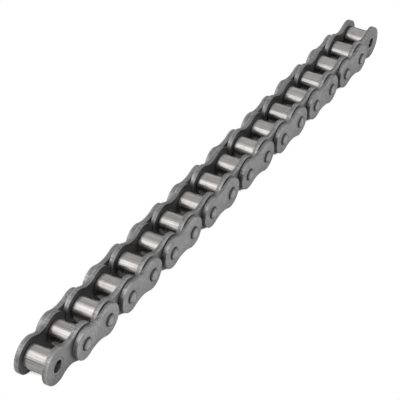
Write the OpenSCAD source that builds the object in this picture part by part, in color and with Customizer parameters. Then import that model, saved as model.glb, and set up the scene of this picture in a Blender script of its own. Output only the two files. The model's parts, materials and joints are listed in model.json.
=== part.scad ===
// Simplex roller chain, 1 inch pitch (ISO 606 16A-1, ANSI 80 proportions).
//
// The chain runs along +X, its pins lie along Y and it stands on the edges of
// its plates, +Z up. Station 0 is the open bush at the near end, at the origin,
// and station k lies k pitches along X. An inner link starts at every even
// station and an outer link at every odd one, so both ends are inner links.

/* [Chain] */
// Distance between neighbouring pins
pitch = 25.4; // [24:0.1:40]
// Number of inner links, one more than the outer links
inner_links = 9; // [2:1:9]

/* [Rollers] */
// Outer diameter of a roller
roller_d = 15.88; // [14:0.01:17]
// Free width between the inner plates
inner_width = 15.75; // [12:0.05:20]
// Side play between a roller's end and the plate beside it
roller_side_play = 0.25; // [0.1:0.05:0.5]
// Chamfer on a roller's outer rims
roller_chamfer = 0.7; // [0.2:0.05:1]

/* [Bushes and pins] */
// Outer diameter of a bush
bush_d = 11.3; // [10.8:0.05:12]
// Radial running clearance of a roller on its bush
roller_clearance = 0.08; // [0.02:0.01:0.1]
// Diameter of a bearing pin
pin_d = 7.92; // [7:0.01:8.5]
// Radial running clearance of a pin in its bush
pin_clearance = 0.05; // [0.02:0.01:0.1]
// Height of a riveted pin end above the outer plate
head_height = 1.2; // [0.6:0.05:1.8]
// Chamfer of a riveted pin end
head_chamfer = 0.5; // [0.2:0.05:0.6]
// Lead-in chamfer at both mouths of a bush
bush_mouth = 0.3; // [0.1:0.05:0.5]
// Chamfer on the outside of a bush's ends, for pressing it in
bush_chamfer = 0.2; // [0.1:0.05:0.4]

/* [Plates] */
// Thickness of every plate
plate_t = 3.2; // [2.5:0.05:4]
// Height of an inner plate at its round ends
inner_plate_h = 24.1; // [20:0.1:24.2]
// Height of an inner plate at its waist
inner_waist_h = 17.6; // [14:0.1:19]
// Height of an outer plate at its round ends
outer_plate_h = 20.9; // [18:0.1:22]
// Height of an outer plate at its waist
outer_waist_h = 15.8; // [13:0.1:17]
// Gap between an inner plate and the outer plate beside it
plate_gap = 0.3; // [0.2:0.05:0.6]

/* [Quality] */
// Segments in a full circle
round_fn = 96; // [48:8:180]

/* [Hidden] */
$fn = round_fn;

outer_links = inner_links - 1;
last_station = 2 * inner_links - 1;

roller_len = inner_width - 2 * roller_side_play;
roller_bore_d = bush_d + 2 * roller_clearance;
roller_bore_chamfer = roller_chamfer / 2;

bush_len = inner_width + 2 * plate_t;
bush_bore_d = pin_d + 2 * pin_clearance;

inner_plate_y = inner_width / 2 + plate_t / 2;
outer_plate_y = inner_width / 2 + 1.5 * plate_t + plate_gap;
pin_len = 2 * (outer_plate_y + plate_t / 2 + head_height);

// The waist arcs bite this far into the end discs, so that no two arcs of a
// plate's outline meet exactly tangent.
waist_bite = 0.02;
// A cutter runs past the face it opens by this much.
cut_over = 1;

plate_color = [0.50, 0.50, 0.51];
outer_plate_color = [0.56, 0.56, 0.57];
bush_color = [0.60, 0.60, 0.60];
pin_color = [0.66, 0.65, 0.64];
roller_color = [0.80, 0.79, 0.77];

// A two-digit tag, so that the node names sort in their order along the chain.
function tag(i) = i < 10 ? str("0", i) : str(i);

function tags(name, count) = [for (i = [1:count]) str(name, "_", tag(i))];

NODES = concat(
    tags("inner_plates", inner_links),
    tags("bushes", inner_links),
    tags("outer_plates", outer_links),
    tags("pins", outer_links),
    tags("roller", last_station + 1)
);
node = "all";

function shown(name, i) = node == "all" || node == str(name, "_", tag(i));

// Stations at which the i-th link of each kind starts.
function inner_station(i) = 2 * i - 2;
function outer_station(i) = 2 * i - 1;

// Radius of the hollow arcs that join two end discs of radius r with a waist
// of height w, touching both discs.
function waist_arc_r(r, w) = (pow(pitch / 2, 2) + pow(w / 2, 2) - r * r) / (2 * r - w);

// Height above the centre line at which such an arc touches a disc of radius r.
function touch_height(r, w) = r * (w / 2 + waist_arc_r(r, w)) / (r + waist_arc_r(r, w));

module at_station(k) {
    translate([k * pitch, 0, 0]) children();
}

// A cylinder along Y, centred on the chain's middle plane.
module y_cylinder(d, length) {
    rotate([90, 0, 0]) cylinder(d = d, h = length, center = true);
}

// A ring along Y with chamfered outer and inner rims.
module y_ring(outer_d, bore_d, length, outer_chamfer, bore_chamfer) {
    outer_r = outer_d / 2;
    bore_r = bore_d / 2;
    half = length / 2;
    rotate([90, 0, 0]) rotate_extrude() polygon([
        [bore_r + bore_chamfer, -half],
        [outer_r - outer_chamfer, -half],
        [outer_r, -half + outer_chamfer],
        [outer_r, half - outer_chamfer],
        [outer_r - outer_chamfer, half],
        [bore_r + bore_chamfer, half],
        [bore_r, half - bore_chamfer],
        [bore_r, -half + bore_chamfer]
    ]);
}

// A waisted plate from one station to the next, its middle plane at y.
module plate(height, waist, hole_d, y) {
    r = height / 2;
    arc_r = waist_arc_r(r, waist) + waist_bite;
    arc_z = waist / 2 + arc_r;
    web_h = 2 * touch_height(r, waist);
    translate([0, y, 0]) difference() {
        union() {
            for (x = [0, pitch]) translate([x, 0, 0]) y_cylinder(height, plate_t);
            translate([pitch / 2, 0, 0]) cube([pitch, plate_t, web_h], center = true);
        }
        for (side = [-1, 1]) translate([pitch / 2, 0, side * arc_z]) y_cylinder(2 * arc_r, plate_t + cut_over);
        for (x = [0, pitch]) translate([x, 0, 0]) y_cylinder(hole_d, plate_t + cut_over);
    }
}

// The two waisted plates of an inner link.
module inner_plates(i) {
    color(plate_color) at_station(inner_station(i)) {
        for (side = [-1, 1]) plate(inner_plate_h, inner_waist_h, bush_d, side * inner_plate_y);
    }
}

// The two bushes pressed into an inner link's plates, flush with their faces.
module bushes(i) {
    color(bush_color) for (step = [0, 1]) at_station(inner_station(i) + step) {
        y_ring(bush_d, bush_bore_d, bush_len, bush_chamfer, bush_mouth);
    }
}

// The two waisted plates of an outer link.
module outer_plates(i) {
    color(outer_plate_color) at_station(outer_station(i)) {
        for (side = [-1, 1]) plate(outer_plate_h, outer_waist_h, pin_d, side * outer_plate_y);
    }
}

// A bearing pin with a chamfered, riveted end on each side.
module pin() {
    pin_r = pin_d / 2;
    half = pin_len / 2;
    rotate([90, 0, 0]) rotate_extrude() polygon([
        [0, -half],
        [pin_r - head_chamfer, -half],
        [pin_r, -half + head_chamfer],
        [pin_r, half - head_chamfer],
        [pin_r - head_chamfer, half],
        [0, half]
    ]);
}

// The two bearing pins of an outer link.
module pins(i) {
    color(pin_color) for (step = [0, 1]) at_station(outer_station(i) + step) pin();
}

// The roller that turns on the bush at station k = i - 1.
module roller(i) {
    color(roller_color) at_station(i - 1) {
        y_ring(roller_d, roller_bore_d, roller_len, roller_chamfer, roller_bore_chamfer);
    }
}

for (i = [1:inner_links]) if (shown("inner_plates", i)) inner_plates(i);
for (i = [1:inner_links]) if (shown("bushes", i)) bushes(i);
for (i = [1:outer_links]) if (shown("outer_plates", i)) outer_plates(i);
for (i = [1:outer_links]) if (shown("pins", i)) pins(i);
for (i = [1:last_station + 1]) if (shown("roller", i)) roller(i);
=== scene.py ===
"""Roller chain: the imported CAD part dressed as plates, bushes, pins and rollers of worn steel.

Every CAD node is replaced by one finer mesh of the same size, with rolled plate
edges, riveted pin ends and rounded roller rims, that rides on the same body.
"""

import json
import math
from collections import namedtuple

import bmesh
import bpy
from mathutils import Matrix, Vector


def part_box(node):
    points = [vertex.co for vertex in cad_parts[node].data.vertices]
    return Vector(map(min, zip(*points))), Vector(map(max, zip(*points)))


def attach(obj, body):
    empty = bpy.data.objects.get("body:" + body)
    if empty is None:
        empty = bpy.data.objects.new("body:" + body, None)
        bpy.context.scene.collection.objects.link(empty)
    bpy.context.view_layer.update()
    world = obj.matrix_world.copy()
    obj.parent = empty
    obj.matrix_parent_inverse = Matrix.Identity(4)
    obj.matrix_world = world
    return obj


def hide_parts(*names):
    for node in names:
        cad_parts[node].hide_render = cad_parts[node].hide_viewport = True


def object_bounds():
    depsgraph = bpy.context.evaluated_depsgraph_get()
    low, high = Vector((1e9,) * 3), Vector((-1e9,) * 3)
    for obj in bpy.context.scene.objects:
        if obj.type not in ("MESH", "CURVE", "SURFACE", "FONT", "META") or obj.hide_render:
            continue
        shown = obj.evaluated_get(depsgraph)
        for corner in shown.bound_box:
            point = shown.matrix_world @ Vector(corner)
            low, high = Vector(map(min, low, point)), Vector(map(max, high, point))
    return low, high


MM = 0.001

# ---------------------------------------------------------------- sizes, in mm
INNER_WIDTH = 15.75
PLATE_T = 3.2
PLATE_GAP = 0.3
INNER_WAIST = 17.6
OUTER_WAIST = 15.8
BUSH_R = 5.65
BUSH_BORE_R = 4.01
PIN_R = 3.96
HEAD_HEIGHT = 1.2
ROLLER_R = 7.94
ROLLER_BORE_R = 5.73

# Rounding of a plate's rim: rolled on its outer face, and the burr side on its inner face
ROLLED_EDGE = 0.4
BURR_EDGE = 0.15
# Share of a plate's thickness that the punch shears smooth, and how softly it ends
LAND_SHARE = 0.42
LAND_BLUR = 0.15
# Chamfers of a plate's holes: outside for the pins and the bushes, and inside for both
PIN_HOLE_CHAMFER = 0.4
BUSH_HOLE_CHAMFER = 0.12
INSIDE_CHAMFER = 0.12
# Rounding of a roller's outer and inner rims
ROLLER_ROUND = 0.5
ROLLER_BORE_ROUND = 0.3
# Chamfers at a bush's ends, outside and in the mouth, and the rounding of their corners
BUSH_EDGE = 0.2
BUSH_MOUTH = 0.3
BUSH_ROUND = 0.08
BUSH_MOUTH_ROUND = 0.15
# A pin's riveted end: its chamfer, its rounding, and the flat ring round its dish
HEAD_CHAMFER = 0.45
HEAD_ROUND = 0.12
HEAD_FLAT = 0.01
# The dish: its depth, the share of the rim's radius at which it bends, and how softly
HEAD_DISH = 0.06
DISH_BEND = 0.55
DISH_ROUND = 0.8

# ---------------------------------------------------------------- mesh density
ARC_STEPS = 44
WAIST_STEPS = 12
MIDLINE_STEPS = 8
FILLET_STEPS = 4
# Distance of a supporting ring from the edge that it supports, in mm
SUPPORT = 0.05
ROLLER_SEGMENTS = 96
BUSH_SEGMENTS = 80
PIN_SEGMENTS = 72

# ------------------------------------------------------- painted masks, 0 to 1
# Worn polish and painted highlight on a plate's rolled rim, where its burr rim has 1, and on its holes'
# chamfers
ROLLED_WEAR_AND_HIGHLIGHT = 0.55
HOLE_WEAR_AND_HIGHLIGHT = 0.5
# Painted shade on a plate: towards the rim of its inner face, on its holes' rims and on their walls
INNER_PAINTED_SHADE = 0.4
HOLE_RIM_PAINTED_SHADE = 0.3
HOLE_WALL_PAINTED_SHADE = 0.6
# The painted shade round a hole thins out over this distance, in mm
PAINTED_SHADE_REACH = 0.45
# Painted shade on a pin's end: on its side and the chamfer's outer part, and on the rest of the chamfer
HEAD_PAINTED_SHADE = 0.65
CHAMFER_PAINTED_SHADE = 0.25
# Width of that outer part, in mm
SHADED_CHAMFER_WIDTH = 0.15

# -------------------------------------------------------------------- surfaces
# A layer of noise: its features per metre, its octaves, the part of its range that is
# used, what the ends of that part give, and its features per metre along X, Y and Z
Layer = namedtuple("Layer", "scale detail used gives stretch", defaults=(None, None))

PLATE_LOT = Layer(45.0, 1.0, (0.35, 0.65), (0.93, 1.07))
PLATE_MOTTLE = Layer(160.0, 4.0, (0.35, 0.65), (0.94, 1.06))
PLATE_SPECKLE = Layer(800.0, 3.0, (0.4, 0.6), (0.88, 1.12))
PLATE_GRAIN = Layer(2400.0, 2.0, (0.3, 0.7))
PLATE_SHEAR = Layer(1.0, 3.0, (0.3, 0.7), (0.68, 1.34), (1700.0, 220.0, 1700.0))
ROLLER_STREAKS = Layer(1.0, 2.0, (0.35, 0.65), (0.0, 1.0), (700.0, 5.0, 700.0))
ROLLER_FINE = Layer(1.0, 2.0, (0.3, 0.7), (0.88, 1.12), (2200.0, 30.0, 2200.0))
ROLLER_MOTTLE = Layer(260.0, 3.0, (0.45, 0.75), (1.0, 0.85))
ROLLER_LOT = Layer(1.0, 1.0, (0.35, 0.65), (0.9, 1.1), (35.0, 8.0, 8.0))
TURNED_MOTTLE = Layer(420.0, 3.0, (0.35, 0.65), (0.9, 1.1))
TURNED_GRAIN = Layer(2600.0, 2.0, (0.3, 0.7))

# Tones of a cut wall's smooth land and of its torn part, times the wall's own
LAND_TONE = 1.12
TORN_TONE = 0.86
# Patchy wear and painted highlight: the part of the mottling that is used, and the polish and highlight
# that its ends give
PATCHES = (0.3, 0.7)
PATCH_WEAR_AND_HIGHLIGHT = (0.3, 0.9)
# Dark lines along a roller: the part of its streaks that is used, and the tones of its ends
LINES = (0.54, 0.6)
LINE_TONES = (1.0, 0.62)
# Roughness of a roller: the part of the summed mottling and lot that is used
ROLLER_ROUGH_PART = (0.8, 1.2)
# Warmth of a roller's dark and light marks: more red, less blue
DARK_WARMTH = (0.045, 0.04)
LIGHT_WARMTH = (0.035, 0.02)
# Linear grey of the painted shade, and how much of it a full mask shows
PAINTED_SHADE_TONE = 0.08
PAINTED_SHADE_SHARE = 0.85
# Depths of the bumps, in metres
GRAIN_DEPTH = 0.00001
SHEAR_DEPTH = 0.00004
STREAK_DEPTH = 0.00004
FINE_DEPTH = 0.000008

# Linear greys and roughness of each steel
WALL_GREY = 0.22
# The light grey of worn polish with a painted highlight on the rims
WORN_HIGHLIGHT_GREY = 0.5
INNER_GREY = 0.26
OUTER_GREY = 0.33
PLATE_ROUGH = (0.44, 0.56)
BUSH_GREY = 0.27
BUSH_WALL_GREY = 0.5
BUSH_ROUGH = (0.25, 0.35)
PIN_GREY = 0.375
PIN_ROUGH = (0.35, 0.45)
ROLLER_GREYS = (0.275, 0.4)
ROLLER_ROUGH = (0.22, 0.3)

# --------------------------------------------- camera and studio, in m and rad
CAMERA_PLACE = Vector((-0.6235, -0.4141, 0.6399))
VIEW_YAW = 0.4725
VIEW_DOWN = 0.6136
VIEW_ROLL = 0.0512
LENS_MM = 155.2
SENSOR_MM = 36.0
CLIP_START = 0.05
CLIP_END = 50.0

# Name, centre, direction, width, height and radiance of each soft panel of light
PANELS = [
    ("key_panel", (-0.53, 0.375, 0.6), (0, 0, -1), 0.94, 1.45, 2.38),
    ("side_panel", (-1.0, 0.375, 0.425), (1, 0, 0), 1.45, 0.35, 1.65),
    ("dim_panel", (0.62, 0.0, 0.6), (0, 0, -1), 1.36, 2.2, 0.84),
    ("far_panel", (1.3, 0.0, 0.425), (-1, 0, 0), 2.2, 0.35, 0.86),
    ("low_panel", (0.55, -1.1, 0.125), (0, 1, 0), 1.5, 0.25, 0.8),
    ("back_panel", (0.2, 1.1, 0.125), (0, -1, 0), 1.5, 0.25, 0.8),
]
# Light that comes from the dim room above and from white paper below
ROOM_LIGHT = 0.15
PAPER_LIGHT = 0.9

FLOOR_SIZE = 60.0
# The sheet that lights the chain lies this far under the one that is seen
BOUNCE_DROP = 0.0002
PAPER_WHITE = 0.85
# A painted shadow on the paper: where less than the first share of the directions within reach is open it
# is dark, and where more than the second is it is as white as the backdrop
HOLLOW_REACH = 0.06
HOLLOW_DARK = 0.05
HOLLOW_LIGHT = 0.12
# The faint glow of that painted shadow
PAINTED_SHADOW_TONE = 0.04
HOLLOW_SAMPLES = 24
WHITE = (1.0, 1.0, 1.0, 1.0)


# =============================================================== mesh building
class Shell:
    """Vertices, faces and the painted masks of one mesh, in mm.

    The masks run from 0 to 1: cut on sheared and turned walls, land on the
    smooth part of a sheared wall, worn polish with a painted highlight on rounded rims,
    and painted shade in the corners, round the holes and on the plates' inner faces.
    """

    MASKS = ("cut", "wear", "grime", "land")

    def __init__(self):
        self.points = []
        self.faces = []
        self.masks = {title: [] for title in self.MASKS}

    def ring(self, points, **values):
        """Adds points with one value of each mask, and returns their numbers."""
        first = len(self.points)
        self.points.extend(points)
        for title, layer in self.masks.items():
            layer.extend([values.get(title, 0.0)] * len(points))
        return list(range(first, len(self.points)))

    def bridge(self, one, other):
        """Joins two closed rings of as many points with quads."""
        count = len(one)
        for i in range(count):
            j = (i + 1) % count
            self.faces.append((one[i], one[j], other[j], other[i]))

    def fan(self, ring, centre):
        """Closes a ring with triangles to one point."""
        count = len(ring)
        for i in range(count):
            self.faces.append((ring[i], ring[(i + 1) % count], centre))

    def build(self, name, material):
        """The finished object, smooth, in metres."""
        mesh = bpy.data.meshes.new(name)
        mesh.from_pydata([Vector(p) * MM for p in self.points], [], self.faces)
        for title, values in self.masks.items():
            mesh.attributes.new(title, "FLOAT", "POINT").data.foreach_set("value", values)
        shell = bmesh.new()
        shell.from_mesh(mesh)
        bmesh.ops.recalc_face_normals(shell, faces=shell.faces)
        for face in shell.faces:
            face.smooth = True
        shell.to_mesh(mesh)
        shell.free()
        mesh.materials.append(material)
        piece = bpy.data.objects.new(name, mesh)
        bpy.context.scene.collection.objects.link(piece)
        return piece


def rounded_path(corners, closed):
    """Points (u, v, bend) along a path whose corners (u, v, radius) are rounded.

    bend is 1 on a rounded corner. A support point stands just off each end of a
    rounded corner, so that the smooth shading of the corner stops there.
    """
    path = []
    count = len(corners)
    for i, (u, v, radius) in enumerate(corners):
        at_end = not closed and i in (0, count - 1)
        corner = Vector((u, v))
        if at_end or radius <= 0:
            path.append((u, v, 0.0))
            continue
        before = Vector(corners[i - 1][:2]) - corner
        after = Vector(corners[(i + 1) % count][:2]) - corner
        before.normalize()
        after.normalize()
        half_angle = before.angle(after) / 2
        reach = radius / math.tan(half_angle)
        middle = (before + after).normalized()
        centre = corner + middle * (radius / math.sin(half_angle))
        start = corner + before * reach - centre
        sweep = start.angle_signed(corner + after * reach - centre)
        path.append((*(corner + before * (reach + SUPPORT)), 0.0))
        for step in range(FILLET_STEPS + 1):
            arm = Matrix.Rotation(-sweep * step / FILLET_STEPS, 2) @ start
            path.append((*(centre + arm), 1.0))
        path.append((*(corner + after * (reach + SUPPORT)), 0.0))
    return path


def circle(centre_x, radius, y, angles):
    """Points of a circle about the Y axis through centre_x."""
    return [(centre_x + radius * math.cos(a), y, radius * math.sin(a)) for a in angles]


def whole_turn(segments):
    return [2 * math.pi * i / segments for i in range(segments)]


# ====================================================================== plates
class Outline:
    """A waisted plate's outline from one pin to the next, which can be inset."""

    def __init__(self, start_x, pitch, radius, waist):
        self.start_x = start_x
        self.pitch = pitch
        self.radius = radius
        self.waist = waist
        half = pitch / 2
        self.arc_r = (half ** 2 + (waist / 2) ** 2 - radius ** 2) / (2 * radius - waist)
        self.arc_z = waist / 2 + self.arc_r
        self.touch = math.atan2(self.arc_z, half)

    def half_loop(self, inset):
        """The outline round the first pin, from the waist's top to its bottom."""
        arc_r = self.arc_r + inset
        end_r = self.radius - inset
        top = []
        for i in range(WAIST_STEPS):
            a = -math.pi / 2 - (math.pi / 2 - self.touch) * i / WAIST_STEPS
            top.append((self.pitch / 2 + arc_r * math.cos(a), self.arc_z + arc_r * math.sin(a)))
        end = []
        for i in range(ARC_STEPS + 1):
            a = self.touch + (2 * math.pi - 2 * self.touch) * i / ARC_STEPS
            end.append((end_r * math.cos(a), end_r * math.sin(a)))
        return top + end + [(x, -z) for x, z in reversed(top)]

    def placed(self, points, y):
        return [(self.start_x + x, y, z) for x, z in points]

    def loop(self, inset, y):
        """The whole outline as 3-D points, without repeating the waist's points."""
        half = self.half_loop(inset)
        other = [(self.pitch - x, z) for x, z in reversed(half[1:-1])]
        return self.placed(half + other, y)


def plate_section(face_in, face_out):
    """(inset, y, masks) across a plate's cut edge, burr side to rolled side."""
    far = ROLLED_EDGE + 2 * SUPPORT
    break_y = face_out + (face_in - face_out) * LAND_SHARE
    path = rounded_path([
        (far, face_in, 0),
        (0.0, face_in, BURR_EDGE),
        (0.0, break_y + (face_in - break_y) * LAND_BLUR, 0),
        (0.0, break_y, 0),
        (0.0, face_out, ROLLED_EDGE),
        (far, face_out, 0),
    ], False)
    section = []
    for inset, y, bend in path:
        on_face = y in (face_in, face_out)
        on_land = abs(y - face_out) <= abs(break_y - face_out)
        masks = {
            "cut": 0.0 if on_face else 1.0,
            # Worn polish with a painted highlight on the rims, strongest on the burr rim
            "wear": bend * (ROLLED_WEAR_AND_HIGHLIGHT if on_land else 1.0),
            "land": 1.0 if on_land and not on_face else 0.0,
            # Painted shade on the inner face, darker towards its rim
            "grime": INNER_PAINTED_SHADE if y == face_in else 0.0,
        }
        section.append((inset, y, masks))
    return section


def hole_section(hole_r, chamfer, face_in, face_out):
    """(radius, y, worn polish and painted highlight) of a hole's wall, from its inner to its outer
    chamfer.
    """
    out = 1 if face_out > face_in else -1
    return [
        (hole_r + INSIDE_CHAMFER, face_in, HOLE_WEAR_AND_HIGHLIGHT),
        (hole_r, face_in + out * INSIDE_CHAMFER, HOLE_WEAR_AND_HIGHLIGHT),
        (hole_r, face_in + out * (INSIDE_CHAMFER + SUPPORT), 0.0),
        (hole_r, face_out - out * (chamfer + SUPPORT), 0.0),
        (hole_r, face_out - out * chamfer, HOLE_WEAR_AND_HIGHLIGHT),
        (hole_r + chamfer, face_out, HOLE_WEAR_AND_HIGHLIGHT),
    ]


def add_face(shell, outline, border, rim_r):
    """Fills a plate's face between its border and the rims round its two holes.

    Returns (centre_x, angles, rim) of each hole.
    """
    y = shell.points[border[0]][1]
    half_count = 2 * WAIST_STEPS + ARC_STEPS + 1
    reach = shell.points[border[0]][2]
    steps = range(1, MIDLINE_STEPS)
    middle = [(outline.pitch / 2, reach * (2 * i / MIDLINE_STEPS - 1)) for i in steps]
    midline = shell.ring(outline.placed(middle, y))
    near_half = border[:half_count]
    far_half = [border[0]] + list(reversed(border[half_count:])) + [border[half_count - 1]]
    holes = []
    for half, offset in ((near_half, 0.0), (far_half, outline.pitch)):
        centre_x = outline.start_x + offset
        around = half + midline
        angles = [math.atan2(shell.points[j][2], shell.points[j][0] - centre_x) for j in around]
        # Painted shade round each hole: none on the first ring, some on the hole's rim
        unshaded = shell.ring(circle(centre_x, rim_r + PAINTED_SHADE_REACH, y, angles))
        rim = shell.ring(circle(centre_x, rim_r + SUPPORT, y, angles), grime=HOLE_RIM_PAINTED_SHADE)
        shell.bridge(around, unshaded)
        shell.bridge(unshaded, rim)
        holes.append((centre_x, angles, rim))
    return holes


def add_plate(shell, outline, hole_r, chamfer, face_in, face_out):
    """One closed plate with rounded edges and two chamfered holes."""
    rings = []
    for inset, y, masks in plate_section(face_in, face_out):
        rings.append(shell.ring(outline.loop(inset, y), **masks))
    for one, other in zip(rings, rings[1:]):
        shell.bridge(one, other)
    inside = add_face(shell, outline, rings[0], hole_r + INSIDE_CHAMFER)
    outside = add_face(shell, outline, rings[-1], hole_r + chamfer)
    for (centre_x, angles, first), (_, _, last) in zip(inside, outside):
        walls = [first]
        for radius, y, wear in hole_section(hole_r, chamfer, face_in, face_out):
            points = circle(centre_x, radius, y, angles)
            # Painted shade on the hole's walls and chamfers
            walls.append(shell.ring(points, cut=1.0, wear=wear, grime=HOLE_WALL_PAINTED_SHADE))
        walls.append(last)
        for one, other in zip(walls, walls[1:]):
            shell.bridge(one, other)


def plate_pair(name, node, waist, hole_r, chamfer, inner_face, material):
    """The two plates of a link, sized from the CAD node's box."""
    low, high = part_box(node)
    radius = (high.z - low.z) / 2 / MM
    start_x = low.x / MM + radius
    pitch = (high.x - low.x) / MM - 2 * radius
    outline = Outline(start_x, pitch, radius, waist)
    shell = Shell()
    for side in (-1, 1):
        add_plate(shell, outline, hole_r, chamfer, side * inner_face, side * (inner_face + PLATE_T))
    return shell.build(name, material)


# ============================================================== turned pieces
def bush_path():
    """(radius, y, masks) once round a bush's section."""
    half = INNER_WIDTH / 2 + PLATE_T
    bore = {"cut": 1.0}
    path = rounded_path([
        (BUSH_BORE_R, -half + BUSH_MOUTH, BUSH_MOUTH_ROUND),
        (BUSH_BORE_R + BUSH_MOUTH, -half, BUSH_ROUND),
        (BUSH_R - BUSH_EDGE, -half, BUSH_ROUND),
        (BUSH_R, -half + BUSH_EDGE, BUSH_ROUND),
        (BUSH_R, half - BUSH_EDGE, BUSH_ROUND),
        (BUSH_R - BUSH_EDGE, half, BUSH_ROUND),
        (BUSH_BORE_R + BUSH_MOUTH, half, BUSH_ROUND),
        (BUSH_BORE_R, half - BUSH_MOUTH, BUSH_MOUTH_ROUND),
    ], True)
    return [(r, y, bore if abs(y) < half - BUSH_MOUTH else {}) for r, y, _ in path]


def roller_path(half):
    """(radius, y, masks) once round a roller's section."""
    path = rounded_path([
        (ROLLER_BORE_R, -half, ROLLER_BORE_ROUND),
        (ROLLER_R, -half, ROLLER_ROUND),
        (ROLLER_R, half, ROLLER_ROUND),
        (ROLLER_BORE_R, half, ROLLER_BORE_ROUND),
    ], True)
    return [(r, y, {"wear": bend}) for r, y, bend in path]


def pin_path(half):
    """(radius, y, masks) along a pin's side and over both dished ends."""
    rim = PIN_R - HEAD_CHAMFER
    base = half - HEAD_HEIGHT
    path = rounded_path([
        (0.0, -half + HEAD_DISH, 0),
        (rim * DISH_BEND, -half + HEAD_DISH / 2, DISH_ROUND),
        (rim - HEAD_FLAT, -half, 0),
        (rim, -half, HEAD_ROUND),
        (PIN_R, -half + HEAD_CHAMFER, HEAD_ROUND),
        (PIN_R, -base, 0),
        (PIN_R, base, 0),
        (PIN_R, half - HEAD_CHAMFER, HEAD_ROUND),
        (rim, half, HEAD_ROUND),
        (rim - HEAD_FLAT, half, 0),
        (rim * DISH_BEND, half - HEAD_DISH / 2, DISH_ROUND),
        (0.0, half - HEAD_DISH, 0),
    ], False)
    turned = []
    for r, y, bend in path:
        on_side = r >= rim
        on_wall = r > PIN_R - SHADED_CHAMFER_WIDTH
        # Painted shade on the pin's side and the outer part of its chamfer, and less on the rest of the
        # chamfer
        grime = HEAD_PAINTED_SHADE if on_wall else CHAMFER_PAINTED_SHADE if on_side else 0.0
        turned.append((r, y, {"cut": 1.0 if on_side else 0.0, "wear": bend, "grime": grime}))
    return turned


def lathe(shell, centre_x, path, segments, closed):
    """Turns a path of (radius, y, masks) about the Y axis through centre_x."""
    rings = []
    for radius, y, masks in path:
        angles = whole_turn(segments) if radius > 0 else [0.0]
        rings.append(shell.ring(circle(centre_x, radius, y, angles), **masks))
    pairs = list(zip(rings, rings[1:] + rings[:1]))
    if not closed:
        pairs.pop()
    for one, other in pairs:
        if len(one) == 1:
            shell.fan(other, one[0])
        elif len(other) == 1:
            shell.fan(one, other[0])
        else:
            shell.bridge(one, other)


def turned_pair(name, node, radius, path, segments, material):
    """Two turned pieces whose axes stand a pitch apart, placed by the CAD node's box."""
    low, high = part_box(node)
    shell = Shell()
    closed = path[0][0] > 0
    for centre_x in (low.x / MM + radius, high.x / MM - radius):
        lathe(shell, centre_x, path, segments, closed)
    return shell.build(name, material)


def roller(name, node, material):
    """One roller, placed by the CAD node's box."""
    low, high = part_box(node)
    shell = Shell()
    half = (high.y - low.y) / 2 / MM
    lathe(shell, (low.x + high.x) / 2 / MM, roller_path(half), ROLLER_SEGMENTS, True)
    return shell.build(name, material)


# =================================================================== materials
def add(tree, kind, inputs, **settings):
    """One shader node, with its settings, values and links."""
    made = tree.nodes.new(kind)
    for key, value in settings.items():
        setattr(made, key, value)
    for key, value in inputs.items():
        socket = made.inputs[key]
        if isinstance(value, bpy.types.NodeSocket):
            tree.links.new(value, socket)
        else:
            socket.default_value = value
    return made


def noise(tree, coords, layer):
    """A layer's noise value, from 0 to 1."""
    if layer.stretch:
        inputs = {0: coords, 1: layer.stretch}
        coords = add(tree, "ShaderNodeVectorMath", inputs, operation="MULTIPLY").outputs[0]
    inputs = {"Vector": coords, "Scale": layer.scale, "Detail": layer.detail}
    return add(tree, "ShaderNodeTexNoise", inputs).outputs[0]


def spread(tree, value, used, gives):
    """Maps the used range of a value to another range, clamped."""
    return add(tree, "ShaderNodeMapRange", {
        "Value": value, "From Min": used[0], "From Max": used[1], "To Min": gives[0], "To Max": gives[1],
    }).outputs[0]


def math_node(tree, operation, one, other):
    return add(tree, "ShaderNodeMath", {0: one, 1: other}, operation=operation).outputs[0]


def product(tree, one, other):
    return math_node(tree, "MULTIPLY", one, other)


def blend_colour(tree, factor, one, other):
    return add(tree, "ShaderNodeMix", {0: factor, 6: one, 7: other}, data_type="RGBA").outputs[2]


def grey(value, more_red=0.0, less_blue=0.0):
    """A linear grey, warmed by small shares."""
    return (value * (1 + more_red), value, value * (1 - less_blue), 1.0)


def scaled(tree, colour, factor):
    """A colour times a varying number."""
    return add(tree, "ShaderNodeVectorMath", {0: colour, "Scale": factor}, operation="SCALE").outputs[0]


def toned(tree, colour, value, layer):
    """A colour made darker and lighter by a layer's noise value."""
    return scaled(tree, colour, spread(tree, value, layer.used, layer.gives))


def toned_where(tree, colour, where, tone):
    """A colour times a tone where a mask is 1, and unchanged where it is 0."""
    return scaled(tree, colour, spread(tree, where, (0.0, 1.0), (1.0, tone)))


def mask(tree, title):
    return add(tree, "ShaderNodeAttribute", {}, attribute_name=title).outputs["Fac"]


def with_painted_shade(tree, colour):
    """A colour darkened by painted shade where its mask says so."""
    share = product(tree, mask(tree, "grime"), PAINTED_SHADE_SHARE)
    return blend_colour(tree, share, colour, grey(PAINTED_SHADE_TONE))


def bump(tree, height, distance, normal=None):
    """A bumped normal, on top of another one if given."""
    inputs = {"Height": height, "Distance": distance, "Strength": 1.0}
    if normal:
        inputs["Normal"] = normal
    return add(tree, "ShaderNodeBump", inputs).outputs[0]


def new_steel(name):
    """A bare metal material, with its node tree, its shader and the object's coordinates."""
    material = bpy.data.materials.new(name)
    material.use_nodes = True
    tree = material.node_tree
    surface = tree.nodes["Principled BSDF"]
    surface.inputs["Metallic"].default_value = 1.0
    coords = tree.nodes.new("ShaderNodeTexCoord").outputs["Object"]
    return material, tree, surface, coords


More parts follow.
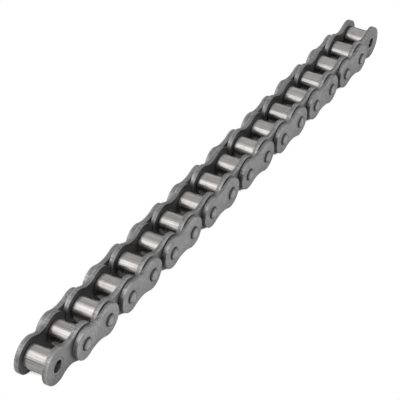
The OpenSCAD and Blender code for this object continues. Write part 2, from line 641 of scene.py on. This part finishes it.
def plate_steel(name, face):
    """Tumbled, heat-treated plate: mottled satin faces, sheared edges, rims lightened by worn polish and
    a painted highlight, and painted shade in corners, round holes and on inner faces.
    """
    material, tree, surface, coords = new_steel(name)
    lot = noise(tree, coords, PLATE_LOT)
    mottle = noise(tree, coords, PLATE_MOTTLE)
    speckle = noise(tree, coords, PLATE_SPECKLE)
    grain = noise(tree, coords, PLATE_GRAIN)
    shear = noise(tree, coords, PLATE_SHEAR)
    cut = mask(tree, "cut")
    land = mask(tree, "land")

    base = blend_colour(tree, cut, grey(face), grey(WALL_GREY))
    base = toned(tree, base, lot, PLATE_LOT)
    base = toned(tree, base, mottle, PLATE_MOTTLE)
    base = toned(tree, base, speckle, PLATE_SPECKLE)
    base = blend_colour(tree, cut, base, toned(tree, base, shear, PLATE_SHEAR))
    base = toned_where(tree, base, land, LAND_TONE)
    base = toned_where(tree, base, math_node(tree, "SUBTRACT", cut, land), TORN_TONE)
    # Worn polish with a painted highlight on the rims, in patches
    polish_and_highlight = product(tree, mask(tree, "wear"), spread(tree, mottle, PATCHES, PATCH_WEAR_AND_HIGHLIGHT))
    base = blend_colour(tree, polish_and_highlight, base, grey(WORN_HIGHLIGHT_GREY))
    # Painted shade in the corners, round the holes and on the inner faces
    tree.links.new(with_painted_shade(tree, base), surface.inputs["Base Color"])

    rough = spread(tree, grain, PLATE_GRAIN.used, PLATE_ROUGH)
    tree.links.new(rough, surface.inputs["Roughness"])
    streaks = product(tree, cut, shear)
    normal = bump(tree, streaks, SHEAR_DEPTH, bump(tree, grain, GRAIN_DEPTH))
    tree.links.new(normal, surface.inputs["Normal"])
    return material


def roller_steel(name):
    """Drawn and tumbled roller: bright, with marks along it that differ from roller to roller."""
    material, tree, surface, coords = new_steel(name)
    along = noise(tree, coords, ROLLER_STREAKS)
    fine = noise(tree, coords, ROLLER_FINE)
    mottle = noise(tree, coords, ROLLER_MOTTLE)
    lot = noise(tree, coords, ROLLER_LOT)

    dark, light = ROLLER_GREYS
    streaks = spread(tree, along, ROLLER_STREAKS.used, ROLLER_STREAKS.gives)
    base = blend_colour(tree, streaks, grey(dark, *DARK_WARMTH), grey(light, *LIGHT_WARMTH))
    base = toned(tree, base, fine, ROLLER_FINE)
    base = scaled(tree, base, spread(tree, along, LINES, LINE_TONES))
    base = toned(tree, base, mottle, ROLLER_MOTTLE)
    base = toned(tree, base, lot, ROLLER_LOT)
    tree.links.new(base, surface.inputs["Base Color"])

    summed = math_node(tree, "ADD", mottle, lot)
    rough = spread(tree, summed, ROLLER_ROUGH_PART, ROLLER_ROUGH)
    tree.links.new(rough, surface.inputs["Roughness"])
    normal = bump(tree, along, STREAK_DEPTH, bump(tree, fine, FINE_DEPTH))
    tree.links.new(normal, surface.inputs["Normal"])
    return material


def turned_steel(name, face, wall, rough_range):
    """Ground bar or tube, for the pins and the bushes."""
    material, tree, surface, coords = new_steel(name)
    mottle = noise(tree, coords, TURNED_MOTTLE)
    grain = noise(tree, coords, TURNED_GRAIN)

    base = blend_colour(tree, mask(tree, "cut"), grey(face), grey(wall))
    base = toned(tree, base, mottle, TURNED_MOTTLE)
    # Painted shade on the pins' sides and chamfers
    tree.links.new(with_painted_shade(tree, base), surface.inputs["Base Color"])

    rough = spread(tree, grain, TURNED_GRAIN.used, rough_range)
    tree.links.new(rough, surface.inputs["Roughness"])
    tree.links.new(bump(tree, grain, GRAIN_DEPTH), surface.inputs["Normal"])
    return material


# ======================================================================= stage
def place_camera():
    """The camera, pointed by its yaw, its angle down and its roll."""
    data = bpy.data.cameras.new("camera")
    data.sensor_width = SENSOR_MM
    data.lens = LENS_MM
    data.clip_start = CLIP_START
    data.clip_end = CLIP_END
    camera = bpy.data.objects.new("camera", data)
    ahead = Vector((
        math.cos(VIEW_DOWN) * math.cos(VIEW_YAW),
        math.cos(VIEW_DOWN) * math.sin(VIEW_YAW),
        -math.sin(VIEW_DOWN),
    ))
    level = ahead.cross(Vector((0, 0, 1))).normalized()
    upward = level.cross(ahead)
    right = level * math.cos(VIEW_ROLL) + upward * math.sin(VIEW_ROLL)
    up = upward * math.cos(VIEW_ROLL) - level * math.sin(VIEW_ROLL)
    camera.location = CAMERA_PLACE
    camera.rotation_mode = "QUATERNION"
    camera.rotation_quaternion = Matrix((right, up, -ahead)).transposed().to_quaternion()
    bpy.context.scene.collection.objects.link(camera)
    bpy.context.scene.camera = camera


def softbox(name, centre, toward, width, height, radiance):
    """A rectangular area light, unseen by the camera; height is its upright or Y side."""
    data = bpy.data.lights.new(name, "AREA")
    data.shape = "RECTANGLE"
    data.size = width
    data.size_y = height
    data.energy = radiance * math.pi * width * height
    light = bpy.data.objects.new(name, data)
    light.location = centre
    ahead = Vector(toward)
    upright = Vector((0, 1, 0)) if ahead.z else Vector((0, 0, 1))
    right = ahead.cross(upright)
    light.rotation_mode = "QUATERNION"
    light.rotation_quaternion = Matrix((right, upright, -ahead)).transposed().to_quaternion()
    light.visible_camera = False
    bpy.context.scene.collection.objects.link(light)


def floor_plane(name, z, material):
    """A level sheet of the floor's size."""
    half = FLOOR_SIZE / 2
    corners = [(-half, -half, z), (half, -half, z), (half, half, z), (-half, half, z)]
    mesh = bpy.data.meshes.new(name)
    mesh.from_pydata(corners, [], [(0, 1, 2, 3)])
    mesh.materials.append(material)
    plane = bpy.data.objects.new(name, mesh)
    bpy.context.scene.collection.objects.link(plane)
    return plane


def paper_bounce():
    """Matt white paper that lights the chain from below.

    Light passes it from below, so that a link that hangs lower is lit as well.
    """
    material = bpy.data.materials.new("paper_bounce")
    material.use_nodes = True
    tree = material.node_tree
    paper = tree.nodes["Principled BSDF"]
    paper.inputs["Base Color"].default_value = grey(PAPER_WHITE)
    paper.inputs["Roughness"].default_value = 1.0
    paper.inputs["Specular IOR Level"].default_value = 0.0
    underside = add(tree, "ShaderNodeNewGeometry", {}).outputs["Backfacing"]
    clear = add(tree, "ShaderNodeBsdfTransparent", {}).outputs[0]
    surface = add(tree, "ShaderNodeMixShader", {0: underside, 1: paper.outputs[0], 2: clear})
    tree.links.new(surface.outputs[0], tree.nodes["Material Output"].inputs["Surface"])
    return material


def paper_shown():
    """A painted shadow in the hollows of the paper under the chain, a faint glow where few directions are
    open.

    Where enough directions are open the paper is as white as the backdrop. It is left clear
    there, so that a link that hangs lower can be seen.
    """
    material = bpy.data.materials.new("paper_shown")
    material.use_nodes = True
    tree = material.node_tree
    tree.nodes.remove(tree.nodes["Principled BSDF"])
    inputs = {"Distance": HOLLOW_REACH}
    # Painted shadow: a faint glow where ambient occlusion finds a hollow, and clear paper elsewhere
    open_share = add(tree, "ShaderNodeAmbientOcclusion", inputs, samples=HOLLOW_SAMPLES).outputs["AO"]
    lit = spread(tree, open_share, (HOLLOW_DARK, HOLLOW_LIGHT), (0.0, 1.0))
    painted_shadow = add(tree, "ShaderNodeEmission", {"Strength": PAINTED_SHADOW_TONE}).outputs[0]
    clear = add(tree, "ShaderNodeBsdfTransparent", {}).outputs[0]
    surface = add(tree, "ShaderNodeMixShader", {0: lit, 1: painted_shadow, 2: clear})
    tree.links.new(surface.outputs[0], tree.nodes["Material Output"].inputs["Surface"])
    return material


def studio_world():
    """A white backdrop for the camera; it lights as a dim room above and as white paper below."""
    world = bpy.data.worlds.new("studio")
    world.use_nodes = True
    tree = world.node_tree
    direction = tree.nodes.new("ShaderNodeTexCoord").outputs["Generated"]
    height = add(tree, "ShaderNodeSeparateXYZ", {0: direction}).outputs["Z"]
    below = math_node(tree, "LESS_THAN", height, 0.0)
    lighting = tree.nodes["Background"]
    strength = spread(tree, below, (0.0, 1.0), (ROOM_LIGHT, PAPER_LIGHT))
    tree.links.new(strength, lighting.inputs["Strength"])
    lighting.inputs["Color"].default_value = WHITE
    backdrop = add(tree, "ShaderNodeBackground", {"Color": WHITE}).outputs[0]
    seen = add(tree, "ShaderNodeLightPath", {}).outputs["Is Camera Ray"]
    surface = add(tree, "ShaderNodeMixShader", {0: seen, 1: lighting.outputs[0], 2: backdrop})
    tree.links.new(surface.outputs[0], tree.nodes["World Output"].inputs["Surface"])
    return world


def build_stage(ground):
    """The paper, the panels of light and the backdrop."""
    shown = floor_plane("floor_shown", ground, paper_shown())
    shown.visible_diffuse = False
    shown.visible_glossy = False
    shown.visible_transmission = False
    shown.visible_shadow = False
    bounce = floor_plane("floor_bounce", ground - BOUNCE_DROP, paper_bounce())
    bounce.visible_camera = False
    for panel in PANELS:
        softbox(*panel)
    bpy.context.scene.world = studio_world()
    bpy.context.scene.view_settings.view_transform = "Standard"


# ======================================================================== main
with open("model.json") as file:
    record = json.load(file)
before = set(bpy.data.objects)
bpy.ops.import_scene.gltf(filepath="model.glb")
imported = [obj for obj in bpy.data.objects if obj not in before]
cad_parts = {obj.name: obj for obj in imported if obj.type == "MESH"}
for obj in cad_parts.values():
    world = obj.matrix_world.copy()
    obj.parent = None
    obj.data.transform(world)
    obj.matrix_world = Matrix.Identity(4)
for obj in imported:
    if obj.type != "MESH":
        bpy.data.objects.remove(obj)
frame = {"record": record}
cad_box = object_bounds()

inner_steel = plate_steel("inner_plate_steel", INNER_GREY)
outer_steel = plate_steel("outer_plate_steel", OUTER_GREY)
bush_steel = turned_steel("bush_steel", BUSH_GREY, BUSH_WALL_GREY, BUSH_ROUGH)
pin_steel = turned_steel("pin_steel", PIN_GREY, WALL_GREY, PIN_ROUGH)
bright_steel = roller_steel("roller_steel")


def build_piece(node):
    """The finer mesh that stands for a CAD node, and its material slot."""
    if node.startswith("inner_plates"):
        piece = plate_pair("link_" + node, node, INNER_WAIST, BUSH_R, BUSH_HOLE_CHAMFER,
                           INNER_WIDTH / 2, inner_steel)
        return piece, "inner_plate_steel"
    if node.startswith("outer_plates"):
        piece = plate_pair("link_" + node, node, OUTER_WAIST, PIN_R, PIN_HOLE_CHAMFER,
                           INNER_WIDTH / 2 + PLATE_T + PLATE_GAP, outer_steel)
        return piece, "outer_plate_steel"
    if node.startswith("bushes"):
        piece = turned_pair("turned_" + node, node, BUSH_R, bush_path(), BUSH_SEGMENTS, bush_steel)
        return piece, "bush_steel"
    if node.startswith("pins"):
        half_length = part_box(node)[1].y / MM
        piece = turned_pair("turned_" + node, node, PIN_R, pin_path(half_length), PIN_SEGMENTS, pin_steel)
        return piece, "pin_steel"
    return roller("turned_" + node, node, bright_steel), "roller_steel"


for body, nodes in frame["record"]["behaviour"]["bodies"].items():
    for node in nodes:
        piece, slot = build_piece(node)
        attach(piece, body)
        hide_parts(node)

place_camera()
build_stage(cad_box[0].z)
